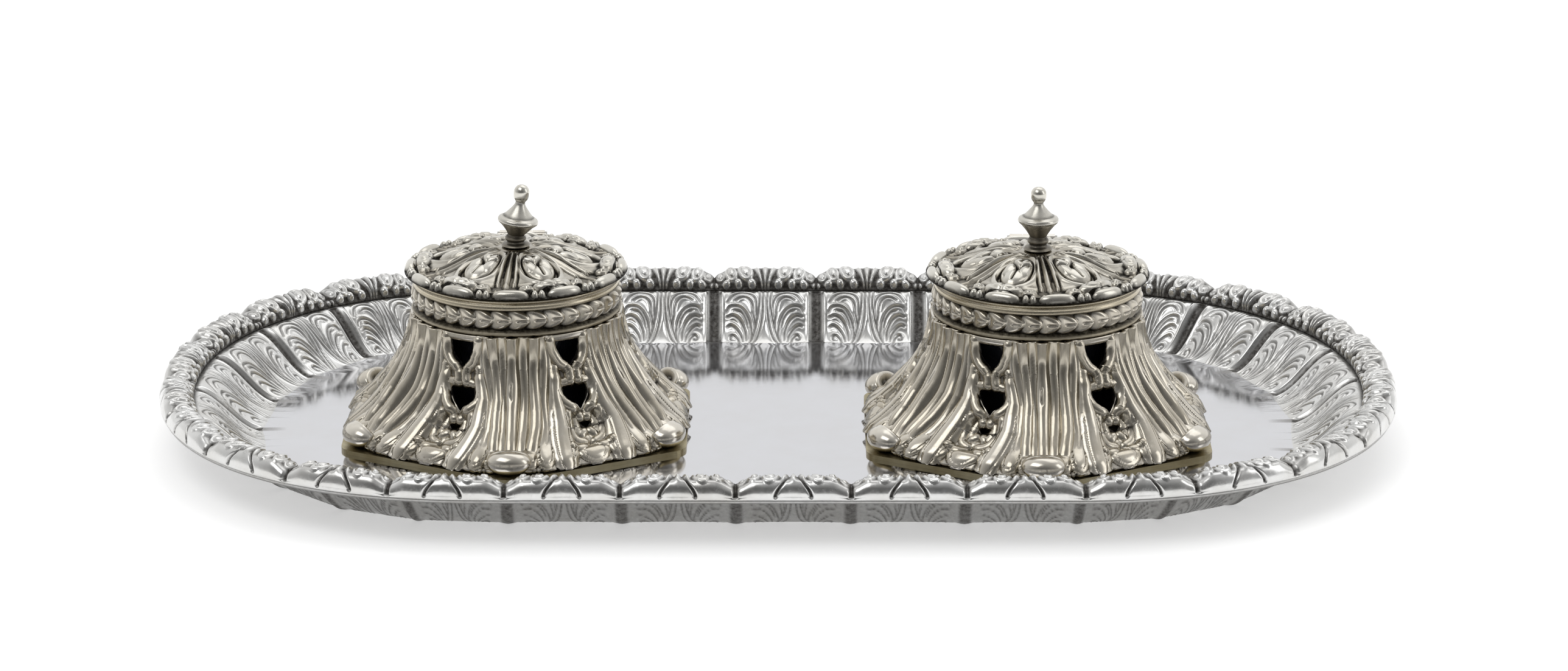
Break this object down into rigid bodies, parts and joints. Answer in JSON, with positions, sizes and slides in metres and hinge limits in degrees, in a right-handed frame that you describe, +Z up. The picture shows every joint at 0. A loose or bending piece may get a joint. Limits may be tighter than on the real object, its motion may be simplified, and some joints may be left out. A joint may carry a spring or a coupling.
{
  "type": "desk inkstand",
  "caption": "Oval silver tray with a panelled, leaf-edged border and a pair of loose, pierced inkwells with hinged domed lids, finials and lift-out glass pots.",
  "frame": {"origin": "middle of the tray's flat underside, on the surface it stands on", "axes": "+X along the tray's length, +Y to the back where the lids are hinged, +Z up"},
  "size_m": [0.3278, 0.1914, 0.0673],
  "materials": {
    "tray_silver": "hand-polished silver, dark in the engraving",
    "well_silver": "cast silver with warm tarnish in the hollows",
    "plate_silver": "silver with a golden olive tarnish",
    "steel": "plain turned metal",
    "ink_glass": "moulded glass, dark with old ink"
  },
  "bodies": {
    "tray": {"tray_dish": "tray_silver", "tray_rim": "tray_silver"},
    "left_well": {"left_base_plate": "plate_silver", "left_shell": "well_silver", "left_collar": "well_silver", "left_laurel_band": "well_silver", "left_ink_pot": "ink_glass", "left_hinge_knuckles": "well_silver", "left_hinge_pin": "steel"},
    "left_cover": {"left_lid": "well_silver", "left_lid_bezel": "well_silver", "left_lid_knuckle": "well_silver", "left_finial": "well_silver", "left_finial_nut": "steel"},
    "right_well": {"right_base_plate": "plate_silver", "right_shell": "well_silver", "right_collar": "well_silver", "right_laurel_band": "well_silver", "right_ink_pot": "ink_glass", "right_hinge_knuckles": "well_silver", "right_hinge_pin": "steel"},
    "right_cover": {"right_lid": "well_silver", "right_lid_bezel": "well_silver", "right_lid_knuckle": "well_silver", "right_finial": "well_silver", "right_finial_nut": "steel"}
  },
  "joints": [
    {"name": "left_well_lift", "type": "slide", "parent": "tray", "child": "left_well", "axis": [0, 0, 1], "range_m": [0, 0.08]},
    {"name": "right_well_lift", "type": "slide", "parent": "tray", "child": "right_well", "axis": [0, 0, 1], "range_m": [0, 0.08]},
    {"name": "left_lid_hinge", "type": "hinge", "parent": "left_well", "child": "left_cover", "pos_m": [-0.0695, 0.0339, 0.0439], "axis": [-1, 0, 0], "range_deg": [0, 100]},
    {"name": "right_lid_hinge", "type": "hinge", "parent": "right_well", "child": "right_cover", "pos_m": [0.0685, 0.0304, 0.0439], "axis": [-1, 0, 0], "range_deg": [0, 100]}
  ]
}
